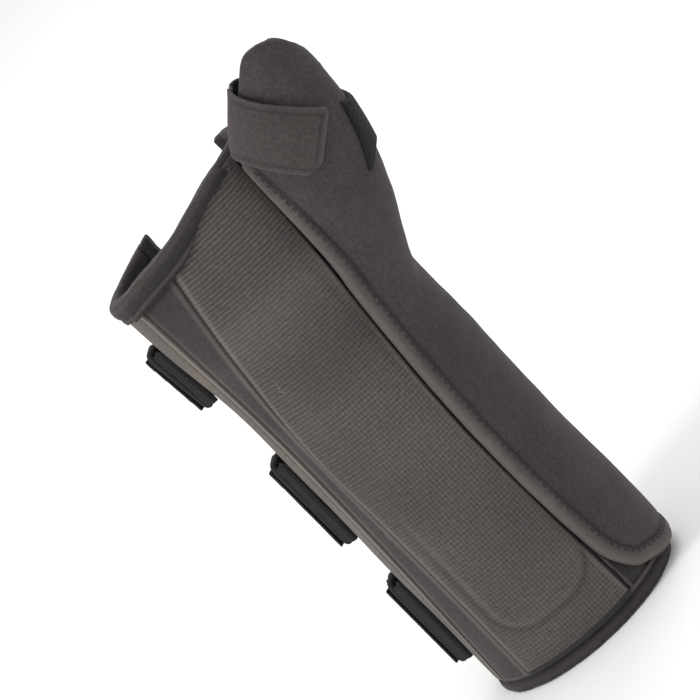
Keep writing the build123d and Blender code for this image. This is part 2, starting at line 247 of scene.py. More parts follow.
def cordedWeave(name, groove, mid, crown, pale, dark="#1d1a18"):
    # Texturised polyester woven with thick weft cords: pale cord crowns over dark gaps, crosswise, with a fine warp.
    material, tree, shader = newMaterial(name, 0.86, sheen=0.06, sheenRoughness=0.4, sheenTint="#cfc8c4")
    cloth = clothCoords(tree)
    wander = addNode(tree, "ShaderNodeTexNoise", {"Vector": cloth, "Scale": cordGrain["wander"], "Detail": 2.0})
    shifted = addNode(tree, "ShaderNodeVectorMath", {0: wander.outputs["Color"], 1: (0.0011, 0.0011, 0)},
                      operation="MULTIPLY")
    moved = addNode(tree, "ShaderNodeVectorMath", {0: cloth, 1: shifted.outputs[0]})
    # the cords and the warp threads are drawn at twice the real spacing, so that they show; a wave texture
    # of scale 1 repeats every pi / 10
    cords = addNode(tree, "ShaderNodeTexWave", {"Vector": moved.outputs[0], "Scale": math.pi / (10 * cordPitch)},
                    bands_direction="Y")
    warp = addNode(tree, "ShaderNodeTexWave", {"Vector": moved.outputs[0], "Scale": math.pi / (10 * warpPitch)},
                   bands_direction="X")
    # the warp shows more towards the forearm
    split = addNode(tree, "ShaderNodeSeparateXYZ", {0: cloth})
    lower = addNode(tree, "ShaderNodeMapRange", {"Value": split.outputs[1], "From Min": 0.19, "From Max": 0.09,
                    "To Min": 0.12, "To Max": 0.5})
    weave = addNode(tree, "ShaderNodeMix", {"Factor": lower.outputs[0], "A": cords.outputs["Fac"],
                                            "B": warp.outputs["Fac"]})
    fuzz = addNode(tree, "ShaderNodeTexNoise", {"Vector": cloth, "Scale": cordGrain["fuzz"], "Detail": 3.0,
                   "Roughness": 0.7})
    patch = addNode(tree, "ShaderNodeTexNoise", {"Vector": cloth, "Scale": cordGrain["patch"], "Detail": 2.0})
    tone = addNode(tree, "ShaderNodeMix", {"Factor": 0.62, "A": weave.outputs[0], "B": fuzz.outputs["Fac"]})
    tone2 = addNode(tree, "ShaderNodeMix", {"Factor": 0.3, "A": tone.outputs[0], "B": patch.outputs["Fac"]})
    # the pale colour is a painted highlight, the dark colour a painted shade
    paintLightAndShade(tree, shader, ramp3(tree, tone2.outputs[0], groove, mid, crown, 0.32, 0.68), pale, dark)
    bumped(tree, shader, [(weave.outputs[0], 0.5, 0.0004), (fuzz.outputs["Fac"], 0.35, 0.0006)])
    return material


def wovenTape(name, low, high, pale, pitch, sheen=0.04, roughness=0.8, dark="#0e0c0c"):
    # Nylon tape or webbing, shuttle-woven: close ribs across the tape, a little shine on the yarn.
    material, tree, shader = newMaterial(name, roughness, sheen=sheen, sheenRoughness=0.35, sheenTint="#c8c0c0")
    cloth = clothCoords(tree)
    ribs = addNode(tree, "ShaderNodeTexWave", {"Vector": cloth, "Scale": math.pi / (10 * pitch), "Distortion": 0.4,
                   "Detail": 1.0, "Detail Scale": 2.0}, bands_direction="X")
    rows = addNode(tree, "ShaderNodeTexWave", {"Vector": cloth, "Scale": math.pi / (12 * pitch), "Distortion": 0.3},
                   bands_direction="Y")
    weave = addNode(tree, "ShaderNodeMix", {"Factor": 0.4, "A": ribs.outputs["Fac"], "B": rows.outputs["Fac"]})
    fuzz = addNode(tree, "ShaderNodeTexNoise", {"Vector": cloth, "Scale": tapeGrain["fuzz"], "Detail": 3.0})
    tone = addNode(tree, "ShaderNodeMix", {"Factor": 0.5, "A": weave.outputs[0], "B": fuzz.outputs["Fac"]})
    # the pale colour is a painted highlight, the dark colour a painted shade
    paintLightAndShade(tree, shader, ramp3(tree, tone.outputs[0], low, low, high, 0.3, 0.75), pale, dark)
    bumped(tree, shader, [(weave.outputs[0], 0.45, 0.0004)])
    return material


def mouldedNylon(name, low, high, roughness=0.5):
    # Injection-moulded nylon hooks or nylon powder coat: satin, with a fine orange peel.
    material, tree, shader = newMaterial(name, roughness, ior=1.53)
    where = addNode(tree, "ShaderNodeTexCoord").outputs["Object"]
    grain = addNode(tree, "ShaderNodeTexNoise", {"Vector": where, "Scale": nylonGrain["peel"], "Detail": 2.0})
    tree.links.new(ramp3(tree, grain.outputs["Fac"], low, low, high, 0.3, 0.7), shader.inputs["Base Color"])
    bumped(tree, shader, [(grain.outputs["Fac"], 0.3, 0.0002)])
    return material


def rolledAluminium(name):
    # 5052 sheet, rolled and tumbled: fine scratches along the strip, soft highlights.
    material, tree, shader = newMaterial(name, 0.38, metallic=1.0)
    where = addNode(tree, "ShaderNodeTexCoord").outputs["Object"]
    long = addNode(tree, "ShaderNodeMapping", {"Vector": where, "Scale": (900, 900, 30)})
    scratch = addNode(tree, "ShaderNodeTexNoise", {"Vector": long.outputs[0], "Scale": 1.0, "Detail": 4.0})
    colour = ramp3(tree, scratch.outputs["Fac"], "#a9abb0", "#bcbec2", "#d3d5d8", 0.2, 0.8)
    tree.links.new(colour, shader.inputs["Base Color"])
    bumped(tree, shader, [(scratch.outputs["Fac"], 0.15, 0.0001)])
    return material


print("materials")
# in each cloth the last colour listed is its painted highlight for turned edges, and its dark colour, given or
# default, its painted shade for seams
flapKnit = brushedKnit("flapKnit", "#2b2626", "#363130", "#423c3b", "#5d5655")
# a lighter copy of the flap's knit for the rolled edge and the pocket welt: painted highlight where these raised
# edges meet the light
litEdgeKnit = brushedKnit("litEdgeKnit", "#342f2e", "#3f3939", "#4b4544", "#665e5c")
panelKnit = brushedKnit("panelKnit", "#4a4440", "#59524d", "#696159", "#857d77")
trimKnit = brushedKnit("trimKnit", "#2b2626", "#383131", "#453e3e", "#6f6665")
liningKnit = brushedKnit("liningKnit", "#232122", "#2d2b2c", "#383637", "#4a4748")
loopKnit = brushedKnit("loopKnit", "#221f1f", "#2c2828", "#393434", "#4a4545", sheen=0.15)
tabKnit = brushedKnit("tabKnit", "#2f2828", "#3a3232", "#463e3e", "#5a5151")
pocketWeave = cordedWeave("pocketWeave", "#332f2d", "#454140", "#5a5552", "#6d6764")
bindingKnit = brushedKnit("bindingKnit", "#191616", "#221e1d", "#2d2827", "#5c5553", dark="#0b0909")
strapWebbing = wovenTape("strapWebbing", "#050505", "#151414", "#201e1d", 0.0016, sheen=0.0, roughness=0.85)
hookNylon = mouldedNylon("hookNylon", "#121212", "#1f1e1f")
wireCoat = mouldedNylon("wireCoat", "#040404", "#0b0b0b", 0.8)
stayMetal = rolledAluminium("stayMetal")
thread = wovenTape("thread", "#1d1a1a", "#332e2e", "#413b3b", 0.0006)


# making and finishing pieces
def makePiece(name, points, faces, material, body, node=(), cloth=None, paintedHighlight=None, paintedShade=None):
    # a mesh piece from points in mm; it rides on a body and stands for CAD nodes
    mesh = bpy.data.meshes.new(name)
    mesh.from_pydata([tuple(p) for p in np.asarray(points) * mm], [], [tuple(int(i) for i in f) for f in faces])
    mesh.validate()
    piece = bpy.data.objects.new(name, mesh)
    scene.collection.objects.link(piece)
    finishPiece(piece, material, body, node, cloth, paintedHighlight, paintedShade)
    return piece


def finishPiece(piece, material, body, node=(), cloth=None, paintedHighlight=None, paintedShade=None):
    mesh = piece.data
    mesh.materials.clear()
    mesh.materials.append(material)
    mesh.shade_smooth()
    setCloth(mesh, cloth)
    setFloat(mesh, "paintedHighlight", paintedHighlight)
    setFloat(mesh, "paintedShade", paintedShade)
    if body:
        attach(piece, body)
    if node:
        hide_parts(*([node] if isinstance(node, str) else node))


def meshPoints(mesh):
    co = np.zeros(len(mesh.vertices) * 3, np.float32)
    mesh.vertices.foreach_get("co", co)
    return co.reshape(-1, 3).astype(float) / mm


def setPoints(mesh, points):
    mesh.vertices.foreach_set("co", (np.asarray(points) * mm).astype(np.float32).ravel())
    mesh.update()


def setCloth(mesh, cloth=None):
    # where each point lies on the flat cloth, in metres, for the weaves
    if cloth is None:
        p = meshPoints(mesh)
        out, angle = outOfArm(p)
        cloth = np.stack([angle * 40, p[:, 2], out * 0.2], -1)
    layer = mesh.attributes.get("cloth") or mesh.attributes.new("cloth", "FLOAT_VECTOR", "POINT")
    layer.data.foreach_set("vector", (np.asarray(cloth) * mm).astype(np.float32).ravel())


def setFloat(mesh, name, values=None):
    if values is None:
        values = np.zeros(len(mesh.vertices))
    layer = mesh.attributes.get(name) or mesh.attributes.new(name, "FLOAT", "POINT")
    layer.data.foreach_set("value", np.asarray(values, np.float32))


def softCopy(name, nodes, voxel, rounds, before=None):
    # one soft closed mesh over the CAD nodes: remeshed, then relaxed so that its edges are round
    points, faces = [], []
    for node in nodes:
        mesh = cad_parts[node].data
        base = len(points)
        co = meshPoints(mesh)
        points += [tuple(p) for p in (before(node, co) if before else co) * mm]
        faces += [[base + i for i in polygon.vertices] for polygon in mesh.polygons]
    mesh = bpy.data.meshes.new(name)
    mesh.from_pydata(points, [], faces)
    bm = bmesh.new()
    bm.from_mesh(mesh)
    bmesh.ops.remove_doubles(bm, verts=bm.verts, dist=1e-6)
    bm.to_mesh(mesh)
    bm.free()
    piece = bpy.data.objects.new(name, mesh)
    scene.collection.objects.link(piece)
    remesh = piece.modifiers.new("remesh", "REMESH")
    remesh.mode, remesh.voxel_size, remesh.adaptivity = "VOXEL", voxel * mm, 0.0
    relax = piece.modifiers.new("relax", "SMOOTH")
    relax.factor, relax.iterations = 0.5, rounds
    applyModifiers(piece)
    return piece


def applyModifiers(piece):
    bpy.context.view_layer.update()
    made = bpy.data.meshes.new_from_object(piece.evaluated_get(bpy.context.evaluated_depsgraph_get()))
    old = piece.data
    piece.modifiers.clear()
    piece.data = made
    made.name = piece.name
    bpy.data.meshes.remove(old)


def normals(mesh):
    n = np.zeros(len(mesh.vertices) * 3, np.float32)
    mesh.vertex_normals.foreach_get("vector", n)
    return n.reshape(-1, 3).astype(float)


def lineDistance(points, line):
    # distance of 2-D points from a polyline
    best = np.full(len(points), 1e9)
    for a, b in zip(line[:-1], line[1:]):
        d = b - a
        t = np.clip(((points - a) @ d) / (d @ d), 0, 1)
        best = np.minimum(best, np.linalg.norm(points - a - t[:, None] * d, axis=1))
    return best


def fineLine(line, steps=12):
    # a polyline through few points, made smooth
    t = np.arange(len(line), dtype=float)
    s = np.linspace(0, len(line) - 1, (len(line) - 1) * steps + 1)
    return np.stack([smoothThrough(s, t, line[:, 0]), smoothThrough(s, t, line[:, 1])], -1)


def ripple(p, size, seed):
    # a soft random field over points in mm, between about -1 and 1
    local = np.random.default_rng(seed)
    total = np.zeros(len(p))
    for k in range(9):
        direction = local.normal(size=3)
        direction /= np.linalg.norm(direction)
        wave = size * local.uniform(0.6, 1.6)
        total += np.sin(p @ direction * (2 * np.pi / wave) + local.uniform(0, 6.28))
    return total / 3.5


def gridFaces(rows, columns, start=0, flip=False):
    faces = []
    for r in range(rows - 1):
        for c in range(columns - 1):
            a = start + r * columns + c
            quad = (a, a + 1, a + columns + 1, a + columns)
            faces.append(quad[::-1] if flip else quad)
    return faces


def shellFaces(rows, columns):
    # faces of a closed sheet: an outer grid, an inner grid, and the four edges between them
    count = rows * columns
    faces = gridFaces(rows, columns) + gridFaces(rows, columns, count, True)
    rim = [c for c in range(columns)]
    rim += [r * columns + columns - 1 for r in range(1, rows)]
    rim += [(rows - 1) * columns + c for c in range(columns - 2, -1, -1)]
    rim += [r * columns for r in range(rows - 2, 0, -1)]
    for a, b in zip(rim, rim[1:] + rim[:1]):
        faces.append((b, a, a + count, b + count))
    return faces


def armPatch(name, sideA, sideB, heightOf, under, material, nodes, across, up, low=hem - 1, drop=2.0):
    # a panel on the arm tube between two angles (functions of z), with its own height field
    v = np.linspace(0, 1, up)[:, None] * np.ones(across)
    u = np.linspace(0, 1, across)[None, :] * np.ones((up, 1))
    z = low + v * 200
    for _ in range(6):
        angle = sideA(z) + (sideB(z) - sideA(z)) * u
        x = onArm(angle, z, under)[..., 0]
        z = low + v * (rimZ(x) - drop - low)
    angle = sideA(z) + (sideB(z) - sideA(z)) * u
    halfX, halfY = ovalAt(z)[1], ovalAt(z)[3]
    width = np.abs(sideB(z) - sideA(z)) * 0.5 * (halfX + halfY + 10)
    height, paintedHighlight, paintedShade = heightOf(u * width, (1 - u) * width, z, onArm(angle, z, under)[..., 0])
    outer = onArm(angle, z, height)
    inner = onArm(angle, z, np.full_like(z, under))
    cloth = np.stack([angle * 42, z, 0 * z], -1)
    points = np.concatenate([outer.reshape(-1, 3), inner.reshape(-1, 3)])
    cloth = np.concatenate([cloth.reshape(-1, 3)] * 2)
    paintedHighlight, paintedShade = [np.concatenate([v.ravel()] * 2) for v in (paintedHighlight, paintedShade)]
    return makePiece(name, points, shellFaces(up, across), material, "root", nodes, cloth, paintedHighlight, paintedShade)


def rolled(distance, width):
    # 0 at an edge, rising as a quarter round to 1
    t = np.clip(1 - distance / width, 0, 1)
    return np.sqrt(1 - t * t)


print("wrap")
wrapLook = {"voxel": 1.3, "relax": 5, "puff": 0.25, "puffSize": 30, "liningOut": 2.6}
wrapNodes = ["lining", "foam_shell", "landing_panel"]
core = softCopy("wrapCore", wrapNodes, wrapLook["voxel"], wrapLook["relax"])
co = meshPoints(core.data)
out, angle = outOfArm(co)
co += normals(core.data) * (wrapLook["puff"] * ripple(co, wrapLook["puffSize"], 3))[:, None]
setPoints(core.data, co)
finishPiece(core, liningKnit, "root", wrapNodes)
core.data.materials.append(loopKnit)
inner = out < wrapLook["liningOut"]
for polygon in core.data.polygons:
    polygon.material_index = 0 if inner[polygon.vertices[0]] else 1


def near(distance, at, width):
    # a smooth bump of height 1 at that distance
    return np.exp(-((distance - at) / width) ** 2)


ulnarLook = {"under": 3.3, "backEdgeX": -33.5, "rise": 1.3, "rolls": (2.4, 1.5), "sag": 0.18, "sagLength": 9.0,
             "stitchIn": 3.6, "stitchDepth": 0.35}


def ulnarHeight(left, right, z, x):
    # left is the seam's side, right the back opening's
    look = ulnarLook
    height = layers["foam"] + 0.2 + look["rise"] * rolled(left, look["rolls"][0]) * rolled(right, look["rolls"][1])
    height += look["sag"] * np.sin(z / look["sagLength"] + 0.4) * smoothStep(left, 2, 8)
    height -= look["stitchDepth"] * near(left, look["stitchIn"], 0.5)
    # painted shade along the seam and in the stitch groove; painted highlight on the rolled edge by the seam
    paintedShade = 0.98 * (1 - smoothStep(left, 0.4, 1.4)) + 0.5 * near(left, look["stitchIn"], 0.45)
    return height, 0.6 * near(left, 1.9, 0.8), paintedShade


armPatch("ulnarPanel", lambda z: palmAngle(lineX(seamLine, z), z, seat),
         lambda z: backAngle(ulnarLook["backEdgeX"], z, seat), ulnarHeight, ulnarLook["under"], panelKnit,
         "ulnar_panel", 60, 220)

trimLook = {"under": 3.3, "tuck": 1.5, "rise": 1.1, "rolls": (2.0, 1.2), "shadeFrom": 165, "shadeFull": 195,
            "shade": 0.35}


def trimHeight(left, right, z, x):
    # left is the pocket's side, right the little-finger side
    look = trimLook
    height = layers["foam"] + 0.1 + look["rise"] * rolled(left, look["rolls"][0]) * rolled(right, look["rolls"][1])
    # painted shade down both edge seams and, growing towards the finger end, over the band; painted highlight on the
    # rolled edges
    paintedShade = 0.98 * (1 - smoothStep(left, 0.8, 2.0)) + 0.98 * (1 - smoothStep(right, 0.5, 1.6))
    paintedShade += look["shade"] * (z > look["shadeFrom"]) * smoothStep(z, look["shadeFrom"], look["shadeFull"])
    return height, 0.5 * near(left, 3.0, 0.9) + 0.3 * near(right, 2.2, 0.7), paintedShade


armPatch("trimBand", lambda z: palmAngle(lineX(pocketLeft, z) + trimLook["tuck"], z, seat),
         lambda z: palmAngle(lineX(seamLine, z), z, seat), trimHeight, trimLook["under"], trimKnit,
         "trim_band", 40, 220)

pocketLook = {"under": 3.5, "layOut": 5.5, "rise": 1.5, "edge": 3.0, "ribPitch": 1.7, "ribHeight": 0.07,
              "stayRise": 1.0, "lowTight": (55, 100), "bulge": (0.7, 118, 17), "wristDip": (0.45, 160, 15),
              "wristShade": (0.36, 152, 13)}
stayOutline = {"left": -18.5, "right": 19.5, "low": 24.0, "high": 211.0, "corner": 12.0}


def pastStay(x, z):
    # how far a point lies outside the stay's rounded outline, negative inside it
    s = stayOutline
    dx = np.maximum(np.maximum(s["left"] - x, x - s["right"]), -99) + s["corner"]
    dz = np.maximum(s["low"] - z, z - s["high"]) + s["corner"]
    return np.hypot(np.maximum(dx, 0), np.maximum(dz, 0)) + np.minimum(np.maximum(dx, dz), 0) - s["corner"]


def pocketHeight(left, right, z, x):
    # left is measured from the thumb side here
    look = pocketLook
    side = np.minimum(left, right)
    edge = rolled(side, look["edge"])
    height = layers["cover"] + 0.5 + look["rise"] * edge
    outside = pastStay(x, z)
    low = 1 - smoothStep(z, *look["lowTight"])   # the stay prints through most where the cover is tight over it
    height += look["stayRise"] * (0.45 + 0.55 * low) * (1 - smoothStep(outside, -3.0, 1.0))
    rise, at, size = look["bulge"]
    height += rise * near(z, at, size)
    dip, at, size = look["wristDip"]
    height -= dip * near(z, at, size)
    wave = np.sin(2 * np.pi * z / look["ribPitch"] + 0.6 * np.sin(x / 7))
    height += look["ribHeight"] * wave * edge
    # painted highlight on the rolled edges, along the inside of the stay's outline and in a band near z 178; painted
    # shade in the edge seams, just outside the stay's outline, across the wrist and just above the forearm binding
    paintedHighlight = 0.5 * near(side, 1.9, 0.8) + 0.2 * near(outside, -1.2, 1.3) * low + 0.15 * near(z, 178, 10)
    paintedShade = 0.95 * (1 - smoothStep(side, 0.3, 1.3)) + 0.4 * near(outside, 1.6, 1.0) * low
    shade, at, size = look["wristShade"]
    paintedShade += shade * near(z, at, size) * smoothStep(x, -24, -4)
    paintedShade += 0.9 * (1 - smoothStep(z, hem + 0.4, hem + 1.6)) + 0.2 * near(z, hem + 3.2, 0.5)
    return height, paintedHighlight, np.clip(paintedShade, 0, 1)


pocket = armPatch("palmarPocket", lambda z: palmAngle(lineX(pocketRight, z), z, pocketLook["layOut"]),
                  lambda z: palmAngle(lineX(pocketLeft, z), z, pocketLook["layOut"]), pocketHeight,
                  pocketLook["under"], pocketWeave, ["palmar_pocket"], 110, 560)

print("bindings")
bindingLook = {"voxel": 0.8, "swell": 0.25, "relax": 6, "pucker": 0.15, "puckerSize": 11}
rimLook = {"stitchDown": 5.9, "stitchDepth": 0.4, "roll": (0.5, 3.2, 2.4), "lipDown": 7.3, "shadeDown": 8.9}
hemLook = {"stitchUp": 5.1, "stitchDepth": 0.5, "roll": (0.5, 2.4, 2.0), "lip": (0.35, 6.7, 0.7), "shadeUp": 8.2}
weltLook = {"voxel": 0.4, "swell": 0.1}


def bindingPiece(name, node, voxel=bindingLook["voxel"], swell=bindingLook["swell"], marks=None,
                 material=bindingKnit):
    piece = softCopy(name, [node], voxel, bindingLook["relax"])
    co = meshPoints(piece.data)
    out, angle = outOfArm(co)
    paintedHighlight, paintedShade, roll = marks(co) if marks else (None, None, 0 * angle)
    swelling = swell + bindingLook["pucker"] * ripple(co, bindingLook["puckerSize"], 5) + roll * (out > 3)
    co += normals(piece.data) * swelling[:, None]
    co[:, 2] = np.maximum(co[:, 2], 0.0)   # it stands on the floor
    setPoints(piece.data, co)
    cloth = np.stack([angle * 40, co[:, 2], out * 0.2], -1)
    finishPiece(piece, material, "root", node, cloth, paintedHighlight, paintedShade)


def rimMarks(p):
    # painted highlight, painted shade and swelling of the finger-end binding, by the distance down from the rim
    down = rimZ(p[:, 0]) - p[:, 2]
    palm = p[:, 1] < 5
    paintedHighlight = 0.25 * near(down, 1.0, 1.2) + 0.4 * near(down, rimLook["lipDown"], 0.5) * palm
    paintedShade = 0.9 * near(down, rimLook["shadeDown"], 0.8) * palm + 0.7 * near(down, rimLook["stitchDown"], 0.5)
    rise, at, size = rimLook["roll"]
    return paintedHighlight, paintedShade, rise * near(down, at, size) - rimLook["stitchDepth"] * near(down, rimLook["stitchDown"], 0.6)


def hemMarks(p):
    # the same for the forearm binding, by height
    z = p[:, 2]
    # painted highlight on the piping roll and lower down; painted shade in the stitch groove and just above the
    # binding
    paintedHighlight = 0.75 * near(z, 6.6, 0.6) + 0.15 * near(z, 2.6, 1.2)
    paintedShade = 0.9 * near(z, hemLook["stitchUp"], 0.5) + 0.8 * near(z, hemLook["shadeUp"], 0.6)
    rise, at, size = hemLook["roll"]
    lip, lipAt, lipSize = hemLook["lip"]
    swelling = rise * near(z, at, size) - hemLook["stitchDepth"] * near(z, hemLook["stitchUp"], 0.6)
    return paintedHighlight, paintedShade, swelling + lip * near(z, lipAt, lipSize)


bindingPiece("palmBinding", "palm_binding", marks=rimMarks)
bindingPiece("forearmBinding", "forearm_binding", marks=hemMarks)
bindingPiece("dorsalTapeUlnar", "dorsal_tape_ulnar")
bindingPiece("dorsalTapeRadial", "dorsal_tape_radial")
bindingPiece("pocketWelt", "pocket_welt", weltLook["voxel"], weltLook["swell"], material=litEdgeKnit)

print("flap")
flapLook = {"voxel": 0.9, "relax": 8, "puff": 0.45, "puffSize": 46, "wrinkle": 0.12, "wrinkleSize": 14,
            "frontPuff": 0.25, "frontTop": 233, "stitchIn": 3.9, "stitchDepth": 0.6, "underEdge": 0.5,
            "rimFrom": 230, "rimFull": 252, "rimLift": 3.2, "rimDrop": 5.0}
edgeLook = {"wide": 6.2, "thick": 3.7, "sides": 22, "start": (27.4, 231.0), "topZ": 226.5, "footZ": 4.4,
            "seamDegrees": 27, "layOut": 7.2, "pathOut": 7.0, "palmEdgeX": 35, "inset": 2.6, "sink": 1.4,
            "step": 1.1, "easeRounds": 14}
stitchLook = {"length": 2.4, "gap": 0.8, "radius": 0.28, "sides": 6, "from": 4, "beside": 2.1}


def edgePath():
    # the flap's free edge on the arm tube, from under the tab down and round the foot to the seam
    line = fineLine(np.concatenate([[edgeLook["start"]], freeEdge[:10]]), 14)
    angles = list(palmAngle(line[:, 0], line[:, 1], edgeLook["layOut"]))
    heights = list(line[:, 1])
    last, lastZ = angles[-1], heights[-1]
    for t in np.linspace(0, 1, 70)[1:]:
        angles.append(last + (math.radians(edgeLook["seamDegrees"]) - last) * t)
        heights.append(lastZ + (edgeLook["footZ"] - lastZ) * (1 - (1 - t) ** 5))
    return smoothedPath(np.array(angles), np.array(heights))


def smoothedPath(angles, heights):
    # equal steps, with the corners eased
    p = onArm(angles, heights, edgeLook["layOut"])
    run = np.concatenate([[0], np.cumsum(np.linalg.norm(np.diff(p, axis=0), axis=1))])
    s = np.linspace(0, run[-1], int(run[-1] / edgeLook["step"]))
    angles, heights = np.interp(s, run, angles), np.interp(s, run, heights)
    for _ in range(edgeLook["easeRounds"]):
        angles[1:-1] = (angles[:-2] + 2 * angles[1:-1] + angles[2:]) / 4
        heights[1:-1] = (heights[:-2] + 2 * heights[1:-1] + heights[2:]) / 4
    return angles, heights


def pathFrame(angles, heights, out):
    # points, inward directions (into the flap) and outward normals along a path on the arm tube
    p = onArm(angles, heights, out)
    along = np.gradient(p, axis=0)
    along /= np.linalg.norm(along, axis=1)[:, None]
    outward = onArm(angles, heights, out + 1.0) - p
    outward[:, 2] = 0
    outward -= along * (outward * along).sum(1)[:, None]
    outward /= np.linalg.norm(outward, axis=1)[:, None]
    return p, np.cross(outward, along), outward


def ovalTube(name, p, across, outward, half, material, power=2.4):
    # a closed tube with a squarish oval section along a path; half is (half width, half thickness)
    sides = edgeLook["sides"]
    phi = np.arange(sides) * 2 * np.pi / sides
    c, s = np.cos(phi), np.sin(phi)
    c, s = np.sign(c) * np.abs(c) ** (2 / power), np.sign(s) * np.abs(s) ** (2 / power)
    rows = len(p)
    taper = np.ones(rows)
    taper[0] = taper[-1] = 0.8
    w, h = [np.asarray(v) * taper for v in half]
    rings = p[:, None] + across[:, None] * (c[None, :, None] * w[:, None, None])
    rings = rings + outward[:, None] * (s[None, :, None] * h[:, None, None])
    points = list(rings.reshape(-1, 3)) + [p[0], p[-1]]
    faces = []
    for r in range(rows - 1):
        for k in range(sides):
            n = (k + 1) % sides
            faces.append((r * sides + k, r * sides + n, (r + 1) * sides + n, (r + 1) * sides + k))
    for k in range(sides):
        n = (k + 1) % sides
        faces.append((rows * sides, n, k))
        faces.append((rows * sides + 1, (rows - 1) * sides + k, (rows - 1) * sides + n))
    return makePiece(name, points, faces, material, None, cloth=points)


flapNodes = ["radial_flap", "flap_edge", "sleeve_back", "sleeve_binding"]
flap = softCopy("radialFlap", flapNodes, flapLook["voxel"], flapLook["relax"])
co = meshPoints(flap.data)
n = normals(flap.data)
edgeFar = lineDistance(co[:, [0, 2]], fineLine(freeEdge))
lift = flapLook["puff"] * ripple(co, flapLook["puffSize"], 11) * smoothStep(edgeFar, 5, 14)
lift += flapLook["wrinkle"] * ripple(co, flapLook["wrinkleSize"], 12)
front = smoothStep(-n[:, 1] + 0.8 * n[:, 0], 0.0, 0.35) * (co[:, 2] < flapLook["frontTop"])
lift += flapLook["frontPuff"] * front * smoothStep(edgeFar, 7, 13)
co += n * lift[:, None]
# the back of the sleeve's rim sits a little lower than its front
tall = smoothStep(co[:, 2], flapLook["rimFrom"], flapLook["rimFull"])
back = smoothStep(co[:, 1], -19, -11)
rise = flapLook["rimLift"] * smoothStep(co[:, 0], 47, 60)
co[:, 2] += tall * (rise * (1 - back) - flapLook["rimDrop"] * back)
setPoints(flap.data, co)


def layOn(piece, p, direction, reach=9.0):
    # drops path points onto a piece against their outward directions; gives eased points and normals
    tree = BVHTree.FromPolygons([v.co.copy() for v in piece.data.vertices],
                                [tuple(f.vertices) for f in piece.data.polygons])
    found, up = p.copy(), direction.copy()
    for i, (at, out) in enumerate(zip(p, direction)):
        hit, normal = tree.ray_cast(Vector((at + out * reach) * mm), Vector(-out), 2 * reach * mm)[:2]
        if hit is not None:
            found[i], up[i] = np.array(hit) / mm, np.array(normal)
    for _ in range(8):
        found[1:-1] = (found[:-2] + 2 * found[1:-1] + found[2:]) / 4
        up[1:-1] = (up[:-2] + 2 * up[1:-1] + up[2:]) / 4
    return found, up / np.linalg.norm(up, axis=1)[:, None]


def farFrom(p, line, reach):
    # distance of points from a dense line of points, exact only within reach
    far = np.full(len(p), 99.0)
    low, high = line.min(0) - reach, line.max(0) + reach
    close = np.where(((p > low) & (p < high)).all(1))[0]
    for part in np.array_split(close, max(1, len(close) // 8000)):
        far[part] = np.sqrt(((p[part, None] - line[None]) ** 2).sum(-1)).min(1)
    return far


angles, heights = edgePath()
underTab = heights < edgeLook["topZ"]   # the turned edge ends under the thumb strap's tab
p, inward, outward = [v[underTab] for v in pathFrame(angles, heights, edgeLook["pathOut"])]
palmWay = np.where(p[:, :1] < edgeLook["palmEdgeX"], [[0.0, -1.0, 0.0]], outward)
q, up = layOn(flap, p + inward * edgeLook["inset"], palmWay, reach=30)
along = np.gradient(q, axis=0)
along /= np.linalg.norm(along, axis=1)[:, None]
side = np.cross(up, along)
fromEdge = farFrom(co, q, 8)
onFace = front > 0.5
groove = -flapLook["underEdge"] * (1 - smoothStep(fromEdge, 2.4, 3.2))
groove -= flapLook["stitchDepth"] * near(fromEdge, flapLook["stitchIn"], 0.9)
co += n * (onFace * groove)[:, None]
setPoints(flap.data, co)
# painted shade in the stitch groove along the turned edge
finishPiece(flap, flapKnit, None, flapNodes, cloth=co,
            paintedShade=0.9 * near(fromEdge, 3.7, 0.7) * onFace)
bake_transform(flap)

wide = np.full(len(q), edgeLook["wide"] / 2)
thick = np.full(len(q), edgeLook["thick"] / 2) * (1 + 0.05 * ripple(q, 16, 21))
turned = ovalTube("flapTurnedEdge", q - up * edgeLook["sink"], side, up, (wide, thick), litEdgeKnit)
# -1 at the free edge, 1 beside the stitches
aroundTube = np.cos(np.arange(edgeLook["sides"]) * 2 * np.pi / edgeLook["sides"])
across = np.concatenate([np.tile(aroundTube, len(q)), [0, 0]])
# painted highlight near the free edge, painted shade beside the stitches
setFloat(turned.data, "paintedHighlight", 0.6 * near(across, -0.55, 0.6))
setFloat(turned.data, "paintedShade", 0.85 * smoothStep(across, 0.75, 1.0))
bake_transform(turned)


def stitchRow(name, p, across, outward, material):
    # short thread stitches along a path, each a small bent capsule
    length, radius, sides = (stitchLook[k] for k in ("length", "radius", "sides"))
    shape = [(0, 0.3, -0.2), (0.18, 1, 0.05), (0.5, 1, 0.14), (0.82, 1, 0.05), (1, 0.3, -0.2)]   # share, size, height
    run = np.concatenate([[0], np.cumsum(np.linalg.norm(np.diff(p, axis=0), axis=1))])
    points, faces = [], []
    for begin in np.arange(0.8, run[-1] - length, length + stitchLook["gap"]):
        base = len(points)
        for step, (share, size, height) in enumerate(shape):
            at, side, up = [np.array([np.interp(begin + share * length, run, v[:, k]) for k in range(3)])
                            for v in (p, across, outward)]
            for k in range(sides):
                phi = 2 * math.pi * k / sides
                points.append(at + up * height + (side * math.cos(phi) + up * math.sin(phi)) * radius * size)
            if step:
                for k in range(sides):
                    m = (k + 1) % sides
                    a = base + (step - 1) * sides
                    faces.append((a + k, a + m, a + sides + m, a + sides + k))
        faces.append(tuple(range(base, base + sides))[::-1])
        faces.append(tuple(range(base + 4 * sides, base + 5 * sides)))
    return makePiece(name, points, faces, material, None, cloth=points)


seam, seamUp = layOn(turned, q + side * stitchLook["beside"], up)
seam, seamSide, seamUp = [v[stitchLook["from"]:] for v in (seam, side, seamUp)]
stitches = stitchRow("flapStitches", seam, seamSide, seamUp, thread)
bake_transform(stitches)

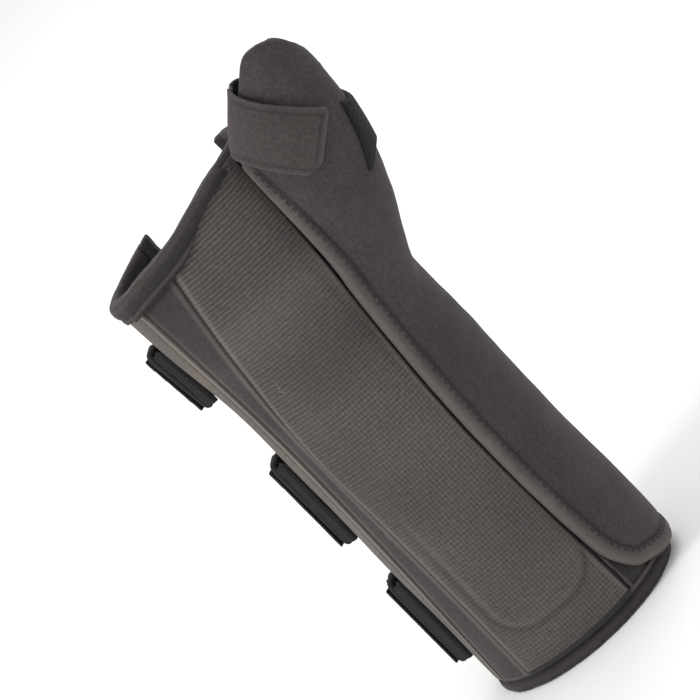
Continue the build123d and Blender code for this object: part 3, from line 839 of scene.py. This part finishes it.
print("small soft parts")


def ridingCopy(name, nodes, voxel, material, body, rounds=3, shape=None, cloth=None):
    piece = softCopy(name, nodes, voxel, rounds)
    co = meshPoints(piece.data)
    if shape:
        setPoints(piece.data, shape(co))
    finishPiece(piece, material, body, nodes, co if cloth is None else cloth(co))
    return piece


tongueLook = {"voxel": 1.2, "relax": 6, "fill": 0.5}
stayPocketLook = {"voxel": 0.6}
tongue = ridingCopy("tonguePad", ["tongue"], tongueLook["voxel"], liningKnit, "root",
                    tongueLook["relax"])
ridingCopy("dorsalStayPocket", ["dorsal_stay_pocket"], stayPocketLook["voxel"], flapKnit, "root")

# thumb strap and its tab, laid out flat as (down, across) from where it crosses the web
tabLook = {"lean": 41.0, "crest": (36.5, 0.0, 238.0), "halfWidth": 12.7, "reach": 33.0, "corners": (7.0, 3.0),
           "voxel": 0.45, "relax": 3, "reachBack": 1.6, "stitchIn": 2.4}
lean = math.radians(tabLook["lean"])
downStrap = np.array([math.sin(lean), 0, -math.cos(lean)])
acrossStrap = np.array([math.cos(lean), 0, math.sin(lean)])


def strapLayout(p):
    q = p - np.array(tabLook["crest"])
    return q @ downStrap, q @ acrossStrap


def roundedTab(p):
    # rounds the two free corners of the tab
    down, across = strapLayout(p)
    for side, radius in zip((-1, 1), tabLook["corners"]):
        u = down - (tabLook["reach"] - radius)
        v = across * side - (tabLook["halfWidth"] - radius)
        far = np.hypot(u, v)
        inside = (u > 0) & (v > 0) & (p[:, 1] < -15)
        square = np.maximum(u, v)
        scale = np.where(inside & (far > 1e-6), square / np.maximum(far, 1e-6), 1.0)
        move = downStrap * (u * (scale - 1))[:, None] + acrossStrap * (v * side * (scale - 1))[:, None]
        p = p + move * inside[:, None]
        down, across = strapLayout(p)
    return p


def strapCloth(p):
    down, across = strapLayout(p)
    return np.stack([down, across, p[:, 1] * 0.2], -1)


def reachStrap(node, p):
    # lets the tab's start run into the strap's end, so that the two make one strip
    if node == "thumb_strap_tab":
        p = p.copy()
        p[:, 1] += tabLook["reachBack"] * smoothStep(p[:, 1], -19.0, -17.4)
    return p


print("straps")
strapNodes = ["thumb_strap", "thumb_strap_tab"]
thumbStrap = softCopy("thumbStrap", strapNodes, tabLook["voxel"], tabLook["relax"], before=reachStrap)
co = roundedTab(meshPoints(thumbStrap.data))
setPoints(thumbStrap.data, co)
down, across = strapLayout(co)
onTab = co[:, 1] < -13 - 4.2 * smoothStep(co[:, 0], 46, 56)   # the rest is plain webbing
rim = np.minimum(tabLook["halfWidth"] - np.abs(across), np.where(onTab, tabLook["reach"] - down, 99))
# painted highlight on the tab's rim, painted shade in its stitch groove
finishPiece(thumbStrap, tabKnit, None, strapNodes, strapCloth(co),
            0.35 * near(rim, 0.2, 0.7) * onTab, 0.5 * near(rim, tabLook["stitchIn"], 0.45) * onTab)
thumbStrap.data.materials.append(strapWebbing)
for polygon in thumbStrap.data.polygons:
    polygon.material_index = 0 if onTab[polygon.vertices[0]] else 1
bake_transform(thumbStrap)

# straps: the webbing is a little wider than the loops' windows, so it nearly hides their ends
strapSpans = {"hand": (174.0, 25.4), "wrist": (104.5, 38.1), "forearm": (39.0, 38.1)}   # middle height, width
strapLook = {"voxel": 0.6, "relax": 2, "spread": 1.4}
strapParts = {"Strap": ("_strap", None), "StrapTail": ("_strap_tail", "_tail"), "Keeper": ("_keeper", None)}


def strapAngles(p):
    out, angle = outOfArm(p)
    return np.stack([np.mod(angle, 2 * np.pi) * 40, p[:, 2], out * 0.3], -1)


for name, (middleZ, width) in strapSpans.items():
    def spread(p, middleZ=middleZ, width=width):
        q = p.copy()
        q[:, 2] = middleZ + (p[:, 2] - middleZ) * (1 + 2 * strapLook["spread"] / width)
        return q
    for part, (node, body) in strapParts.items():
        ridingCopy(name + part, [name + node], strapLook["voxel"], strapWebbing, name + body if body else "root",
                   strapLook["relax"], spread, strapAngles)

# carried-over CAD nodes
cadFinish = {"palmar_stay": stayMetal, "dorsal_stay": stayMetal, "thumb_stay": stayMetal,
             "flap_hook_strip": hookNylon, "thumb_strap_hook": hookNylon}
for name in strapSpans:
    cadFinish[name + "_slot_loop"] = wireCoat
    cadFinish[name + "_strap_hook"] = hookNylon
for node, material in cadFinish.items():
    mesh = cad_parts[node].data
    mesh.materials.clear()
    mesh.materials.append(material)

# floor, light and camera
print("stage")
stage = {"halfFloor": 6.0, "floorDrop": 0.0004, "floorColour": "#fefefd", "worldStrength": 0.8}
half, drop = stage["halfFloor"], -stage["floorDrop"]
floorMesh = bpy.data.meshes.new("floor")
floorMesh.from_pydata([(-half, -half, drop), (half, -half, drop), (half, half, drop), (-half, half, drop)], [],
                      [(0, 1, 2, 3)])
floor = bpy.data.objects.new("floor", floorMesh)
scene.collection.objects.link(floor)
floorPaint, tree, shader = newMaterial("floorPaint", 0.9)
shader.inputs["Base Color"].default_value = linear(stage["floorColour"])
floorMesh.materials.append(floorPaint)

world = bpy.data.worlds.new("studio")
world.use_nodes = True
sky = world.node_tree.nodes["Background"]
sky.inputs["Color"].default_value = linear("#ffffff")
sky.inputs["Strength"].default_value = stage["worldStrength"]
scene.world = world


# name: where it hangs from the splint's middle, how wide it is (m), and its power (W)
lights = {"key": ((-1.3, -1.1, 1.0), 0.7, 16), "fill": ((0.9, -1.5, 1.2), 1.4, 3), "back": ((0.2, 1.6, 1.4), 1.4, 10)}


def areaLight(name, place, target, size, power):
    data = bpy.data.lights.new(name, "AREA")
    data.shape, data.size, data.energy = "DISK", size, power
    lamp = bpy.data.objects.new(name, data)
    scene.collection.objects.link(lamp)
    lamp.location = place
    lamp.rotation_euler = (Vector(target) - Vector(place)).to_track_quat("-Z", "Y").to_euler()


middle = (cadBox[0] + cadBox[1]) / 2
for name, (away, size, power) in lights.items():
    areaLight(name, middle + Vector(away), middle, size, power)

view = {"azimuth": 15.0, "elevation": 15.0, "roll": 44.3, "distance": 1.5, "millimetresAcross": 262.5, "sensor": 36}
aim = Vector((0.0, 0.0, 0.125))
offCentre = (0.0079, -0.0131)   # the aim point lies this far right of and above the frame's middle, in metres
az, el, rollAngle = (math.radians(view[k]) for k in ("azimuth", "elevation", "roll"))
level = Vector((math.cos(az), math.sin(az), 0))
upward = Vector((-math.sin(az) * math.sin(el), math.cos(az) * math.sin(el), math.cos(el)))
backward = level.cross(upward)
rightward = level * math.cos(rollAngle) - upward * math.sin(rollAngle)
topward = level * math.sin(rollAngle) + upward * math.cos(rollAngle)
cameraData = bpy.data.cameras.new("camera")
cameraData.sensor_width = view["sensor"]
cameraData.lens = view["sensor"] * view["distance"] / (view["millimetresAcross"] * mm)
camera = bpy.data.objects.new("camera", cameraData)
scene.collection.objects.link(camera)
place = aim - rightward * offCentre[0] - topward * offCentre[1] + backward * view["distance"]
camera.matrix_world = Matrix((rightward, topward, backward)).transposed().to_4x4()
camera.location = place
cameraData.clip_end = 30
scene.camera = camera
